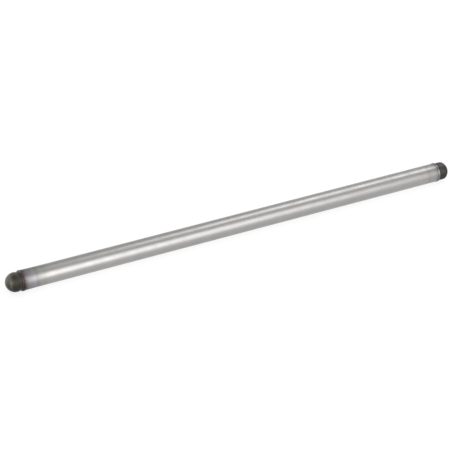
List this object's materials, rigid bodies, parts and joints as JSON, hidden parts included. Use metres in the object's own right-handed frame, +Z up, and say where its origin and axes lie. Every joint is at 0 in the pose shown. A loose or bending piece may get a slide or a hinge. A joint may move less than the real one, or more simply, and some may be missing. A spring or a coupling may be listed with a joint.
{
  "type": "engine pushrod",
  "caption": "Straight engine pushrod with a ball tip at its near end and a blunter dome tip at its far end; it carries the lift from a tappet to a rocker arm.",
  "frame": {"origin": "centre of the ball on the ball tip, the point about which the rod rocks in its cup", "axes": "+X along the rod, from the ball tip to the dome tip; +Z up as the rod lies level"},
  "size_m": [0.16, 0.0066, 0.0066],
  "materials": {
    "drawn_aluminium": "satin",
    "hardened_steel": "satin"
  },
  "bodies": {
    "root": {"tube": "drawn_aluminium", "ball_tip": "hardened_steel", "dome_tip": "hardened_steel"}
  },
  "joints": []
}
